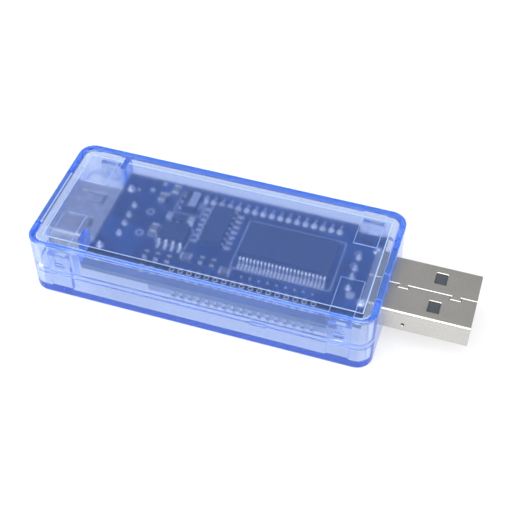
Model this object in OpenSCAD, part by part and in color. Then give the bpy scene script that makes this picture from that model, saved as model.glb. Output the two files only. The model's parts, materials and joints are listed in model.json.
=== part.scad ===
// In-line USB power meter: a clear snap-together case around one circuit board, with a USB-A plug
// at +X, a USB-A socket at -X, the parts side up (+Z) and the liquid-crystal display facing down.
// The origin is the middle of the case's underside.

/* [Case] */
// Length of the case along X
case_length = 60; // [58:0.5:62]
// Width of the case along Y
case_width = 25.5; // [25:0.1:27]
// Height of the closed case
case_height = 12; // [11.8:0.1:13]
// Radius of the upright corners
corner_radius = 2.8; // [2:0.1:3.2]
// Radius of the top and bottom edges
edge_radius = 0.4; // [0.3:0.05:0.6]
// Thickness of the side and end walls
wall = 1.1; // [1:0.05:1.3]
// Thickness of the ceiling and the floor
skin = 1.15; // [1:0.05:1.3]
// Height of the parting line above the underside
parting_height = 5; // [4.6:0.1:5.2]
// Height of the lower shell's lip above the parting line
lip_height = 0.7; // [0.4:0.1:1]

/* [Snap arms] */
// Length of each snap arm along X
arm_length = 3.8; // [3:0.1:4]
// Thickness of a snap arm
arm_thickness = 0.8; // [0.6:0.1:0.9]
// Height of the arm tips above the underside
arm_top = 9.3; // [8.5:0.1:9.8]
// Distance of the arms' middle from the case's middle
arm_middle = 24.4; // [24:0.1:24.8]

/* [Circuit board] */
// Left end of the board
board_left = -20.5; // [-20.6:0.1:-20]
// Right end of the board
board_right = 27.4; // [27:0.1:27.5]
// Width of the board
board_width = 22; // [21:0.1:22.2]
// Height of the board's upper face
board_top = 8; // [7.9:0.05:8.1]
// Thickness of the board
board_thickness = 1; // [0.8:0.1:1.2]

/* [Plug] */
// Height of the plug's middle above the underside
plug_height = 6.25; // [6.1:0.05:6.4]
// How far the plug stands out of the case
plug_reach = 14.3; // [13:0.1:15]
// Width of the plug's steel shell
plug_width = 12; // [12:0.05:12.1]
// Height of the plug's steel shell
plug_thickness = 4.5; // [4.5:0.05:4.6]
// Thickness of the sheet steel
sheet = 0.3; // [0.25:0.05:0.35]

/* [Socket] */
// Height of the socket's middle above the underside
socket_height = 5.4; // [5.2:0.05:5.6]
// Width of the opening for a plug
socket_mouth_width = 12.5; // [12.4:0.05:12.6]
// Height of the opening for a plug
socket_mouth_height = 5.12; // [5:0.02:5.2]
// Depth of the socket's steel shell
socket_depth = 9.6; // [9.4:0.1:9.7]

/* [Display] */
// Distance between display pins
pin_pitch = 1.53; // [1.5:0.01:1.55]
// Pins on each side of the display
pin_count = 17; // [15:1:18]
// Place of the display's middle along X
display_middle = 6.9; // [6.5:0.1:7.1]
// Length of the display glass
glass_length = 34; // [32:0.5:34]
// Width of the display glass
glass_width = 15.8; // [15:0.1:15.9]

/* [Hidden] */
$fn = 48;

fit = 0.05;
eps = 0.01;
inner_length = case_length - 2 * wall;
inner_width = case_width - 2 * wall;
inner_radius = corner_radius - wall;
ceiling = case_height - skin;
board_underside = board_top - board_thickness;
pad_recess = 0.1;
pad_inner = 3.9;
rib_thickness = 1;
rib_far = [8.6, inner_width / 2 + eps];
rib_near = [-9.8, -6.8];
rib_middle = board_left - fit - rib_thickness / 2;
rib_foot = 6;
tooth_width = 1.5;
tooth_low = 6.2;
tooth_high = 7.7;
nick_x = 11;
nick_width = 2.7;
nick_depth = 0.25;
nick_height = 0.5;
board_notch_left = 22.1;
board_notch_depth = 1.6;
board_socket_cut = 0.35;
plug_tip = case_length / 2 + plug_reach;
plug_back = board_right + 0.3;
plug_corner = 0.55;
plug_slab_low = plug_height + plug_thickness / 2 - sheet - fit - 1.9;
plug_hole_length = 2;
plug_hole_width = 2.4;
plug_hole_x = 37.8;
plug_hole_y = 3.15;
seam_tails = [32.15, 40.85];
dimple_x = 33.5;
dimple_drop = 0.6;
dimple_radius = 0.35;
dimple_depth = 0.15;
contact_y = [-3.5, -1, 1, 3.5];
plug_tab_x = board_right - 0.6;
plug_pin_x = 23.6;
socket_front = -case_length / 2 + 0.1;
socket_back = socket_front + socket_depth;
socket_outer_width = socket_mouth_width + 2 * sheet;
socket_outer_height = socket_mouth_height + 2 * sheet;
socket_corner = 0.6;
socket_tab_x = -18.9;
socket_tab_y = 7.1;
tongue_width = 8.4;
tongue_thickness = 1.84;
tongue_front = socket_front + 0.9;
tongue_top = socket_height - 0.05;
spring_root_x = socket_back - 1.3;
spring_root_z = tongue_top - 0.55;
spring_strip = 0.2;
spring_width = 0.9;
spring_rise = 0.35;
spring_crest_x = spring_root_x - 4.4;
spring_tip_x = tongue_front + 0.7;
socket_pin_x = -16.7;
pin_row_y = 8.4;
first_pin_x = display_middle - pin_pitch * (pin_count - 1) / 2;
polarizer_thickness = 0.2;
polarizer_margin = 0.8;
glass_thickness = 1.1;
front_glass_low = 1.65;
rear_glass_low = front_glass_low + glass_thickness + 0.02;
guide_low = rear_glass_low + glass_thickness + polarizer_thickness + 0.04;
reflector_thickness = 0.25;
guide_high = board_underside - reflector_thickness - 0.04;
guide_width = 14.6;
guide_length = 32;
lead_thickness = 0.18;
driver_size = [15.9, 7.5, 2.2];
driver_place = [12.3, 0.4];
driver_pitch = 0.635;
driver_pins = 24;
driver_span = 10.2;
controller_size = [3.9, 8.65, 1.45];
controller_place = [-1.1, 2.5];
controller_pitch = 1.27;
controller_pins = 7;
controller_span = 6;
amplifier_size = [4.9, 3.9, 1.45];
amplifier_place = [-7.6, -1.3];
amplifier_pitch = 1.27;
amplifier_pins = 4;
amplifier_span = 6;
regulator_size = [2.5, 4.5, 1.5];
shunt_place = [-7.9, 2.65];
shunt_size = [5, 1.4, 0.6];
regulator_place = [-7.3, 6.7];

// ---------------------------------------------------------------- shared shapes

module rounded_outline(length, width, radius) {
    square([length - 2 * radius, width], center = true);
    square([length, width - 2 * radius], center = true);
    for (sx = [-1, 1], sy = [-1, 1])
        translate([sx * (length / 2 - radius), sy * (width / 2 - radius)]) circle(radius);
}

module rounded_block(length, width, radius, low, high) {
    translate([0, 0, low]) linear_extrude(high - low) rounded_outline(length, width, radius);
}

// A rounded block that stands on Z = 0 with its lower outer edge rounded all the way round
module soft_block(height) {
    reach = corner_radius - edge_radius;
    rounded_block(case_length, case_width, corner_radius, edge_radius, height);
    rounded_block(case_length - 2 * edge_radius, case_width - 2 * edge_radius, reach, 0, height);
    for (sx = [-1, 1], sy = [-1, 1])
        translate([sx * (case_length / 2 - corner_radius), sy * (case_width / 2 - corner_radius),
            edge_radius]) rotate_extrude() translate([reach, 0]) circle(edge_radius);
    for (sy = [-1, 1])
        translate([0, sy * (case_width / 2 - edge_radius), edge_radius])
            rotate([0, 90, 0])
                cylinder(r = edge_radius, h = case_length - 2 * corner_radius, center = true);
    for (sx = [-1, 1])
        translate([sx * (case_length / 2 - edge_radius), 0, edge_radius])
            rotate([90, 0, 0]) cylinder(r = edge_radius, h = case_width - 2 * corner_radius, center = true);
}

module cavity(low, high) {
    rounded_block(inner_length, inner_width, inner_radius, low, high);
}

module box_at(low, size) { translate(low) cube(size); }

module middle_box(middle, size) { translate(middle) cube(size, center = true); }

// One formed sheet tube along X with rounded corners
module sheet_tube(width, height, radius, low_x, high_x, middle_z) {
    translate([low_x, 0, middle_z]) rotate([90, 0, 90]) linear_extrude(high_x - low_x)
        difference() {
            rounded_outline(width, height, radius);
            rounded_outline(width - 2 * sheet, height - 2 * sheet, radius - sheet);
        }
}

// One gull-wing lead that leaves a chip at +X, its foot flat on the board
module gull_wing(body_half, span_half, width, shoulder) {
    rotate([90, 0, 0]) linear_extrude(width, center = true) polygon([
        [body_half, shoulder], [body_half + 0.45, shoulder],
        [span_half - 0.55, lead_thickness], [span_half, lead_thickness],
        [span_half, 0], [span_half - 0.65, 0],
        [body_half + 0.35, shoulder - lead_thickness], [body_half, shoulder - lead_thickness]
    ]);
}

// Two facing rows of leads along Y
module lead_rows(place, body_width, span, pitch, count, width, shoulder) {
    translate([place[0], place[1], board_top])
        for (side = [0, 180], i = [0 : count - 1])
            rotate([0, 0, side]) translate([0, (i - (count - 1) / 2) * pitch, 0])
                gull_wing(body_width / 2, span / 2, width, shoulder);
}

module chip_body(place, size, lift) {
    translate([place[0], place[1], board_top + lift]) difference() {
        translate([-size[0] / 2, -size[1] / 2, 0]) cube([size[0], size[1], size[2] - lift]);
        translate([-size[0] / 2 + 1, -size[1] / 2 + 1, size[2] - lift - 0.1]) cylinder(r = 0.4, h = 1);
    }
}

// ---------------------------------------------------------------- case

module plug_window() {
    middle_box([case_length / 2, 0, plug_height],
        [4 * wall, plug_width + 2 * fit + 0.1, plug_thickness + 2 * fit + 0.1]);
}

module socket_window() {
    middle_box([-case_length / 2, 0, socket_height],
        [4 * wall, socket_outer_width + 2 * fit + 0.1, socket_outer_height + 2 * fit + 0.1]);
}

module at_arms() {
    for (sx = [-1, 1]) translate([sx * arm_middle, 0, 0]) children();
    for (sx = [-1, 1]) translate([sx * arm_middle, 0, 0]) mirror([0, 1, 0]) children();
}

module pry_nick() {
    translate([nick_x, -case_width / 2, parting_height])
        cube([nick_width, 2 * nick_depth, 2 * nick_height], center = true);
}

module upper_shell() {
    color([0.45, 0.6, 1, 0.5]) difference() {
        union() {
            difference() {
                translate([0, 0, case_height]) mirror([0, 0, 1]) soft_block(case_height - parting_height);
                cavity(parting_height - 1, ceiling);
                rounded_block(inner_length + wall + 2 * fit, inner_width + wall + 2 * fit,
                    inner_radius + wall / 2 + fit, parting_height - 1, parting_height + lip_height + fit);
                at_arms() box_at([-arm_length / 2 - 0.1, pad_inner, ceiling - 1],
                    [arm_length + 0.2, inner_width / 2 - pad_inner + eps, 1 + pad_recess]);
            }
            at_arms() translate([0, inner_width / 2 + eps, 0]) rotate([90, 0, 90])
                linear_extrude(tooth_width, center = true)
                    polygon([[0, tooth_low], [-0.75, tooth_low], [0, tooth_high]]);
            for (span = [rib_near, rib_far])
                box_at([rib_middle - rib_thickness / 2, span[0], rib_foot],
                    [rib_thickness, span[1] - span[0], ceiling - rib_foot + eps]);
        }
        plug_window();
        socket_window();
        pry_nick();
    }
}

module snap_arm() {
    arm_outer = inner_width / 2 - 0.1;
    difference() {
        union() {
            box_at([-arm_length / 2, arm_outer - arm_thickness, skin - eps],
                [arm_length, arm_thickness, arm_top - skin]);
            box_at([-arm_length / 2, arm_outer - eps, skin - eps],
                [arm_length, 0.1 + 2 * eps, parting_height - skin]);
        }
        middle_box([0, arm_outer - arm_thickness / 2, (tooth_low + tooth_high) / 2],
            [tooth_width + 0.3, 2 * arm_thickness, tooth_high - tooth_low + 0.3]);
    }
}

module lower_shell() {
    color([0.45, 0.6, 1, 0.5]) difference() {
        union() {
            difference() {
                union() {
                    soft_block(parting_height);
                    rounded_block(inner_length + wall, inner_width + wall, inner_radius + wall / 2,
                        parting_height - 1, parting_height + lip_height);
                }
                cavity(skin, case_height);
            }
            at_arms() snap_arm();
        }
        plug_window();
        socket_window();
        pry_nick();
    }
}

// ---------------------------------------------------------------- board

module board_outline() {
    difference() {
        translate([board_left, -board_width / 2]) square([board_right - board_left, board_width]);
        for (sy = [-1, 1]) translate([(board_notch_left + board_right) / 2 + 1, sy * board_width / 2])
            square([board_right - board_notch_left + 2, 2 * board_notch_depth], center = true);
        translate([board_left, 0])
            square([2 * board_socket_cut, socket_outer_width + 0.3], center = true);
    }
}

module circuit_board() {
    color([0.1, 0.16, 0.42]) difference() {
        translate([0, 0, board_underside]) linear_extrude(board_thickness) board_outline();
        for (sy = [-1, 1], i = [0 : pin_count - 1])
            translate([first_pin_x + i * pin_pitch, sy * pin_row_y, board_underside - 1])
                cylinder(r = 0.36, h = 4);
        for (x = [socket_pin_x - 0.15, plug_pin_x], y = contact_y)
            translate([x, y, board_underside - 1]) cylinder(r = 0.45, h = 4);
        for (sy = [-1, 1]) {
            translate([socket_tab_x, sy * socket_tab_y, board_underside - 1]) cylinder(r = 0.75, h = 4);
            translate([plug_tab_x - 0.3, sy * (plug_width - sheet) / 2, board_underside - 1])
                cylinder(r = 0.55, h = 4);
        }
    }
}

// ---------------------------------------------------------------- plug

// The dovetailed joint where the shell's sheet meets, as a narrow slot
module plug_seam() {
    slot = 0.08;
    drop = 0.8;
    half_neck = 0.8;
    half_foot = 0.95;
    module run(from, to) {
        length = norm(to - from);
        translate(from) rotate(atan2(to[1] - from[1], to[0] - from[0]))
            translate([-slot / 2, -slot / 2]) square([length + slot, slot]);
    }
    translate([0, 0, plug_height]) linear_extrude(plug_thickness) {
        run([plug_back - 1, 0], [seam_tails[0] - half_neck, 0]);
        run([seam_tails[0] + half_neck, 0], [seam_tails[1] - half_neck, 0]);
        run([seam_tails[1] + half_neck, 0], [plug_tip + 1, 0]);
        for (x = seam_tails) {
            run([x - half_neck, 0], [x - half_foot, -drop]);
            run([x - half_foot, -drop], [x + half_foot, -drop]);
            run([x + half_foot, -drop], [x + half_neck, 0]);
        }
    }
}

module usb_plug_shell() {
    color([0.72, 0.71, 0.69]) {
        difference() {
            sheet_tube(plug_width, plug_thickness, plug_corner, plug_back, plug_tip, plug_height);
            for (sy = [-1, 1]) middle_box([plug_hole_x, sy * plug_hole_y, plug_height],
                [plug_hole_length, plug_hole_width, 2 * plug_thickness]);
            plug_seam();
            for (sy = [-1, 1]) translate([dimple_x, sy * plug_width / 2, plug_height - dimple_drop])
                rotate([90, 0, 0])
                    cylinder(r = dimple_radius, h = 2 * dimple_depth, center = true);
        }
        for (sy = [-1, 1]) {
            tab_y = sy * (plug_width / 2 - sheet / 2);
            middle_box([(plug_tab_x + plug_back) / 2, tab_y, board_top + 0.25],
                [plug_back - plug_tab_x + 1, sheet, 0.5]);
            middle_box([plug_tab_x - 0.3, tab_y, board_top - 0.35], [0.6, sheet, 1.7]);
        }
    }
}

module usb_plug_insulator() {
    block_width = plug_width - 2 * (sheet + fit);
    block_height = plug_thickness - 2 * (sheet + fit);
    color([0.12, 0.12, 0.14]) translate([0, 0, plug_height]) difference() {
        translate([plug_back - 0.2, 0, 0]) rotate([90, 0, 90])
            linear_extrude(plug_tip - 0.1 - plug_back)
                rounded_outline(block_width, block_height, plug_corner - sheet);
        translate([plug_back + 4, -block_width, plug_slab_low - plug_height - block_height])
            cube([plug_reach + 10, 2 * block_width, block_height]);
        for (y = contact_y) translate([plug_tip - 10, y, plug_slab_low - plug_height])
            cube([22, 1.1, 0.6], center = true);
        for (y = contact_y) translate([plug_back, y, plug_slab_low - plug_height - 0.2])
            cube([10, 1.1, 1], center = true);
    }
}

module usb_plug_contacts() {
    blade_z = plug_slab_low + 0.14;
    color([0.85, 0.7, 0.35]) for (y = contact_y) translate([0, y, 0]) {
        middle_box([(plug_tip - 1.2 + plug_pin_x) / 2, 0, blade_z],
            [plug_tip - 1.2 - plug_pin_x, 0.9, 0.2]);
        middle_box([plug_pin_x, 0, (blade_z + board_top + 0.4) / 2],
            [0.3, 0.5, board_top + 0.6 - blade_z]);
    }
}

// ---------------------------------------------------------------- socket

module usb_socket_shell() {
    color([0.72, 0.71, 0.69]) {
        difference() {
            sheet_tube(socket_outer_width, socket_outer_height, socket_corner, socket_front, socket_back,
                socket_height);
            for (sz = [-1, 1], y = [-3, 3])
                middle_box([socket_front + 5.3, y, socket_height + sz * socket_outer_height / 2],
                    [5, 2.4, 1]);
        }
        for (sz = [-1, 1], y = [-3, 3])
            translate([socket_front + 2.9, y, socket_height + sz * (socket_outer_height / 2 - sheet / 2)])
                rotate([0, sz * 3, 0]) middle_box([1.9, 0, 0], [4.2, 1.6, 0.25]);
        for (sy = [-1, 1]) {
            side = sy * (socket_outer_width - sheet) / 2;
            middle_box([(socket_back + socket_tab_x) / 2, side, board_underside - 0.9],
                [socket_tab_x - socket_back + 1, sheet, 1.4]);
            middle_box([socket_tab_x, (sy * socket_tab_y + side) / 2, board_underside - 0.6],
                [0.9, socket_tab_y - socket_outer_width / 2 + sheet + 0.3, 0.3]);
            middle_box([socket_tab_x, sy * socket_tab_y, board_underside + 0.4], [0.9, 0.3, 2.3]);
        }
    }
}

module usb_socket_insulator() {
    block_front = socket_back - 1.5;
    color([0.93, 0.93, 0.9]) difference() {
        union() {
            translate([block_front, 0, socket_height]) rotate([90, 0, 90]) linear_extrude(1.4)
                rounded_outline(socket_mouth_width - 2 * fit, socket_mouth_height - 2 * fit,
                    socket_corner - sheet);
            box_at([tongue_front, -tongue_width / 2, tongue_top - tongue_thickness],
                [block_front - tongue_front + eps, tongue_width, tongue_thickness]);
        }
        for (y = contact_y) {
            middle_box([(tongue_front + 0.4 + socket_back) / 2, y, tongue_top],
                [socket_back - tongue_front - 0.4, spring_width + 0.3, 2 * 0.95]);
        }
    }
}

module usb_socket_contact_tails() {
    tail_left = spring_root_x + 0.08;
    strip_z = spring_root_z;
    color([0.85, 0.7, 0.35]) for (y = contact_y) translate([0, y, 0]) {
        middle_box([(tail_left + socket_pin_x) / 2, 0, strip_z],
            [socket_pin_x - tail_left, spring_width - 0.1, spring_strip]);
        middle_box([socket_pin_x - 0.15, 0, (strip_z + board_top + 0.6) / 2],
            [0.3, 0.5, board_top + 0.6 - strip_z + spring_strip]);
    }
}

module usb_socket_contact_springs() {
    crest_z = tongue_top + spring_rise;
    tip_z = tongue_top - 0.3;
    color([0.85, 0.7, 0.35]) for (y = contact_y) translate([0, y, 0])
        rotate([90, 0, 0]) linear_extrude(spring_width, center = true) polygon([
            [spring_root_x, spring_root_z - spring_strip / 2],
            [spring_root_x, spring_root_z + spring_strip / 2],
            [spring_crest_x + 0.5, crest_z], [spring_crest_x - 0.3, crest_z], [spring_tip_x, tip_z],
            [spring_tip_x, tip_z - spring_strip], [spring_crest_x - 0.25, crest_z - spring_strip],
            [spring_crest_x + 0.45, crest_z - spring_strip]
        ]);
}

// ---------------------------------------------------------------- display

module display_sheet(length, width, low, thickness) {
    box_at([display_middle - length / 2, -width / 2, low], [length, width, thickness]);
}

module polarizer(low) {
    display_sheet(glass_length - 2 * polarizer_margin, glass_width - 2 * polarizer_margin, low,
        polarizer_thickness);
}

module lcd_front_polarizer() {
    color([0.25, 0.3, 0.3]) polarizer(front_glass_low - polarizer_thickness - 0.01);
}

module lcd_front_glass() {
    color([0.8, 0.9, 0.88]) display_sheet(glass_length, glass_width, front_glass_low, glass_thickness);
}

module lcd_rear_glass() {
    color([0.8, 0.9, 0.88]) display_sheet(glass_length, glass_width, rear_glass_low, glass_thickness);
}

module lcd_rear_polarizer() {
    color([0.25, 0.3, 0.3]) polarizer(rear_glass_low + glass_thickness + 0.01);
}

module lcd_light_guide() {
    color([0.95, 0.97, 1]) display_sheet(guide_length, guide_width, guide_low, guide_high - guide_low);
}

module lcd_reflector() {
    color([0.97, 0.97, 0.97]) display_sheet(guide_length, guide_width,
        board_underside - reflector_thickness - 0.02, reflector_thickness);
}

module lcd_pin_row(side) {
    clip_low = front_glass_low - 0.25;
    clip_high = rear_glass_low + glass_thickness + 0.03;
    color([0.8, 0.8, 0.8]) for (i = [0 : pin_count - 1])
        translate([first_pin_x + i * pin_pitch, 0, 0]) {
            middle_box([0, side * pin_row_y, (clip_low + board_top + 0.5) / 2],
                [0.5, 0.25, board_top + 0.5 - clip_low]);
            for (z = [clip_low, clip_high])
                middle_box([0, side * (pin_row_y - 0.4), z + 0.1], [0.5, 0.9, 0.2]);
        }
}

module lcd_pins_far() { lcd_pin_row(1); }

module lcd_pins_near() { lcd_pin_row(-1); }

module backlight_leds() {
    color([0.95, 0.93, 0.8]) for (y = [-4, 0, 4])
        middle_box([display_middle - guide_length / 2 - 0.75, y, board_underside - 0.6], [1, 2.4, 1.16]);
}

// ---------------------------------------------------------------- parts on the board

module driver_chip_body() {
    color([0.08, 0.08, 0.1]) chip_body(driver_place, driver_size, 0.1);
}

module driver_chip_leads() {
    color([0.8, 0.8, 0.8]) translate([driver_place[0], driver_place[1], 0]) rotate([0, 0, 90])
        lead_rows([0, 0], driver_size[1], driver_span, driver_pitch, driver_pins, 0.28, 1.2);
}

module controller_chip_body() {
    color([0.08, 0.08, 0.1]) chip_body(controller_place, controller_size, 0.1);
}

module controller_chip_leads() {
    color([0.8, 0.8, 0.8]) lead_rows(controller_place, controller_size[0], controller_span,
        controller_pitch, controller_pins, 0.42, 0.8);
}

module amplifier_chip_body() {
    color([0.08, 0.08, 0.1]) chip_body(amplifier_place, amplifier_size, 0.1);
}

module amplifier_chip_leads() {
    color([0.8, 0.8, 0.8]) translate([amplifier_place[0], amplifier_place[1], 0]) rotate([0, 0, 90])
        lead_rows([0, 0], amplifier_size[1], amplifier_span, amplifier_pitch, amplifier_pins, 0.42,
            0.8);
}

module voltage_regulator() {
    color([0.08, 0.08, 0.1]) middle_box([regulator_place[0], regulator_place[1],
        board_top + 0.05 + regulator_size[2] / 2], regulator_size);
}

module voltage_regulator_leads() {
    foot_reach = regulator_size[0] / 2 + 0.42;
    color([0.8, 0.8, 0.8]) {
        for (y = [-1.5, 0, 1.5])
            middle_box([regulator_place[0] - foot_reach, regulator_place[1] + y, board_top + 0.12],
                [0.8, 0.45, 0.22]);
        middle_box([regulator_place[0] + foot_reach, regulator_place[1], board_top + 0.12],
            [0.8, 1.7, 0.22]);
    }
}

module shunt_resistor() {
    color([0.1, 0.1, 0.1]) middle_box([shunt_place[0], shunt_place[1],
        board_top + 0.05 + shunt_size[2] / 2], shunt_size);
}

// A small two-ended chip part: place, length along its long axis, width, height, turned or not
module chip_part(place, length, width, height, turned) {
    translate([place[0], place[1], board_top + 0.02 + height / 2]) rotate([0, 0, turned ? 90 : 0])
        cube([length, width, height], center = true);
}

module capacitors() {
    color([0.7, 0.55, 0.4]) {
        for (place = [[-3.8, -5.6], [3.4, -6.8]]) chip_part(place, 2, 1.25, 0.9, false);
        for (place = [[-11.2, -1.2], [-12.6, 6.2], [-10.9, 8.7]]) chip_part(place, 2, 1.25, 0.9, true);
    }
}

module resistors() {
    color([0.1, 0.1, 0.1]) {
        for (x = [-10.6, -8.6, -6.6]) chip_part([x, -6.9], 1.6, 0.8, 0.45, true);
        for (x = [-1.2, 0.8]) chip_part([x, -5.4], 1.6, 0.8, 0.45, true);
        for (x = [-10.3, -8.5]) chip_part([x, -8.9], 1.6, 0.8, 0.45, true);
    }
}

upper_shell();
lower_shell();
circuit_board();
usb_plug_shell();
usb_plug_insulator();
usb_plug_contacts();
usb_socket_shell();
usb_socket_insulator();
usb_socket_contact_tails();
usb_socket_contact_springs();
lcd_front_polarizer();
lcd_front_glass();
lcd_rear_glass();
lcd_rear_polarizer();
lcd_light_guide();
lcd_reflector();
lcd_pins_far();
lcd_pins_near();
backlight_leds();
driver_chip_body();
driver_chip_leads();
controller_chip_body();
controller_chip_leads();
amplifier_chip_body();
amplifier_chip_leads();
voltage_regulator();
voltage_regulator_leads();
shunt_resistor();
capacitors();
resistors();
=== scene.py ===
# %% [markdown]
# # A clear-cased USB power meter
# The CAD model is loaded first. It is the fixed frame: the main places and sizes below are read from it.
# Lengths are in millimetres until a mesh is made, because that is how a maker would measure this.

import json
import math

import bmesh
import bpy
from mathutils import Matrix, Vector


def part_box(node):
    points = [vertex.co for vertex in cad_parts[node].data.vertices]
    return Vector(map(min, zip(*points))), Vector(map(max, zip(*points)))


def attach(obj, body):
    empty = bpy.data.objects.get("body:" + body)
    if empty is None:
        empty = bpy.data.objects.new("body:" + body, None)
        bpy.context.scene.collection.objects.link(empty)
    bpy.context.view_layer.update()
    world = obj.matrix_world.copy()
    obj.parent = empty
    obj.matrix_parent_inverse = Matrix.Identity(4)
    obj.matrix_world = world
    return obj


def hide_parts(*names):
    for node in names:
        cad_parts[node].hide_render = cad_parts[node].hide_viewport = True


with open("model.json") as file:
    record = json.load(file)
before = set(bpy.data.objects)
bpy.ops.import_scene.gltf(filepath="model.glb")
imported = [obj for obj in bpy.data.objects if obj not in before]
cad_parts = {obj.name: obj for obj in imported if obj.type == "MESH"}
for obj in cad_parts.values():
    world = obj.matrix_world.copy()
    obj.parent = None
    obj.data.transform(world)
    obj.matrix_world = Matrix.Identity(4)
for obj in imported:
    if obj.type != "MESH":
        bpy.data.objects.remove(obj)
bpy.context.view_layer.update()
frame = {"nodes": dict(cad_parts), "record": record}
MM = 0.001
BODY = "meter"

# %% [markdown]
# The main places are taken from the boxes of the CAD nodes, so that the looks always fit the frame.

# %% Places and sizes


def node_box(name):
    """The lowest and highest corner of a CAD node, in millimetres."""
    low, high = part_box(name)
    return low / MM, high / MM


upper_low, case_high = node_box("upper_shell")
case_low = node_box("lower_shell")[0]
board_low, board_high = node_box("circuit_board")
plug_low, plug_high = node_box("usb_plug_shell")
socket_low, socket_high = node_box("usb_socket_shell")
glass_low, glass_high = node_box("lcd_front_glass")

LENGTH = case_high.x - case_low.x
WIDTH = case_high.y - case_low.y
HEIGHT = case_high.z
PARTING = upper_low.z
LIP = 0.7
CORNER = 2.8
EDGE = 0.4
WALL = 1.1
SKIN = 1.15
CEILING = HEIGHT - SKIN
BOARD_TOP = board_high.z
BOARD_UNDER = board_low.z
print("case", round(LENGTH, 2), round(WIDTH, 2), round(HEIGHT, 2), "board top", round(BOARD_TOP, 2))

# %% [markdown]
# ## Shader expressions
# Materials are easier to read as sums than as chains of nodes. `Wire` holds one output of a node,
# and adding or multiplying wires adds the Math nodes.

# %% The shader expression class


class Wire:
    """One output of a node, which can be used in sums."""

    def __init__(self, graph, socket):
        self.graph = graph
        self.socket = socket

    def math(self, operation, *values):
        sockets = dict(enumerate(values))
        return self.graph.node("ShaderNodeMath", {"operation": operation}, sockets)

    def __add__(self, other):
        return self.math("ADD", self, other)

    def __radd__(self, other):
        return self.math("ADD", other, self)

    def __sub__(self, other):
        return self.math("SUBTRACT", self, other)

    def __rsub__(self, other):
        return self.math("SUBTRACT", other, self)

    def __mul__(self, other):
        return self.math("MULTIPLY", self, other)

    def __rmul__(self, other):
        return self.math("MULTIPLY", other, self)

    def __abs__(self):
        return self.math("ABSOLUTE", self)

    def smaller(self, other):
        return self.math("MINIMUM", self, other)

    def larger(self, other):
        return self.math("MAXIMUM", self, other)

    def fade(self, low, high):
        """0 below low, 1 above high, and a smooth step between them."""
        ends = {"Value": self, "From Min": low, "From Max": high}
        return self.graph.node("ShaderNodeMapRange", {"interpolation_type": "SMOOTHSTEP"}, ends)

    def parts(self):
        """The X, Y and Z of a vector."""
        made = self.graph.node("ShaderNodeSeparateXYZ", {}, {0: self})
        return [Wire(self.graph, made.socket.node.outputs[i]) for i in range(3)]


class Graph:
    """The node tree of one material or world."""

    def __init__(self, tree):
        self.tree = tree
        tree.nodes.clear()

    def node(self, kind, settings, sockets, output=0):
        """Any node: its settings first, then the values or links of its sockets."""
        made = self.tree.nodes.new(kind)
        for name, value in settings.items():
            setattr(made, name, value)
        for name, value in sockets.items():
            self.feed(made.inputs[name], value)
        return Wire(self, made.outputs[output] if made.outputs else None)

    def feed(self, socket, value):
        if isinstance(value, Wire):
            self.tree.links.new(value.socket, socket)
        else:
            socket.default_value = value

    def place(self):
        """Where a point is on the piece, in metres."""
        return self.node("ShaderNodeTexCoord", {}, {}, "Object")

    def noise(self, size, detail=2.0, stretch=(1, 1, 1)):
        """A cloudy pattern whose patches are about `size` millimetres across."""
        spot = self.node("ShaderNodeMapping", {}, {"Vector": self.place(), "Scale": stretch})
        sockets = {"Vector": spot, "Scale": 1 / (size * MM), "Detail": detail}
        return self.node("ShaderNodeTexNoise", {}, sockets)

    def tint(self, share, first, second):
        """A colour from first to second as share goes from 0 to 1."""
        made = self.tree.nodes.new("ShaderNodeMix")
        made.data_type = "RGBA"
        self.feed(made.inputs[0], share)
        for index, colour in ((6, first), (7, second)):
            self.feed(made.inputs[index], colour if isinstance(colour, Wire) else (*colour, 1))
        return Wire(self, made.outputs[2])

    def bump(self, height, depth, strength=1.0):
        """A bumpy normal: depth in millimetres for a height of 1."""
        sockets = {"Height": height, "Distance": depth * MM, "Strength": strength}
        return self.node("ShaderNodeBump", {}, sockets)


def new_material(name):
    material = bpy.data.materials.new(name)
    material.use_nodes = True
    return material, Graph(material.node_tree)


def surface(graph, **sockets):
    """Ends a material in a Principled shader with these sockets."""
    named = {name.replace("_", " "): value for name, value in sockets.items()}
    shader = graph.node("ShaderNodeBsdfPrincipled", {}, named)
    graph.node("ShaderNodeOutputMaterial", {}, {"Surface": shader})


# %% [markdown]
# ## The camera
# A plain perspective camera that looks down at the meter from the front right.

# %% Camera
AZIMUTH = math.radians(17.858)
ELEVATION = math.radians(47.815)
DISTANCE = 191.33
TARGET = Vector((4.722, 5.952, 0))
LENS = 75.18
back = Vector((math.sin(AZIMUTH) * math.cos(ELEVATION), -math.cos(AZIMUTH) * math.cos(ELEVATION),
               math.sin(ELEVATION)))
camera = bpy.data.objects.new("camera", bpy.data.cameras.new("camera"))
camera.data.lens = LENS
camera.data.sensor_width = 36
camera.data.clip_start = 0.01
camera.location = (TARGET + back * DISTANCE) * MM
camera.rotation_mode = "QUATERNION"
camera.rotation_quaternion = (-back).to_track_quat("-Z", "Y")
bpy.context.scene.collection.objects.link(camera)
bpy.context.scene.camera = camera
print("camera", [round(v, 4) for v in camera.location])

# %% [markdown]
# ## The studio
# Clear plastic shows what is around it, so the room is part of its look. The room is a sky with soft
# lamps painted on it by direction, and the side behind the meter is left dim: a clear lid is only
# dark and deep where it has nothing bright to mirror. The last lamp is taken away instead of added:
# it leaves a dim patch low in front, which the upright front faces mirror.

# %% Studio light
world = bpy.data.worlds.new("studio")
world.use_nodes = True
bpy.context.scene.world = world
sky = Graph(world.node_tree)
direction = sky.node("ShaderNodeTexCoord", {}, {}, "Generated")


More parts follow.
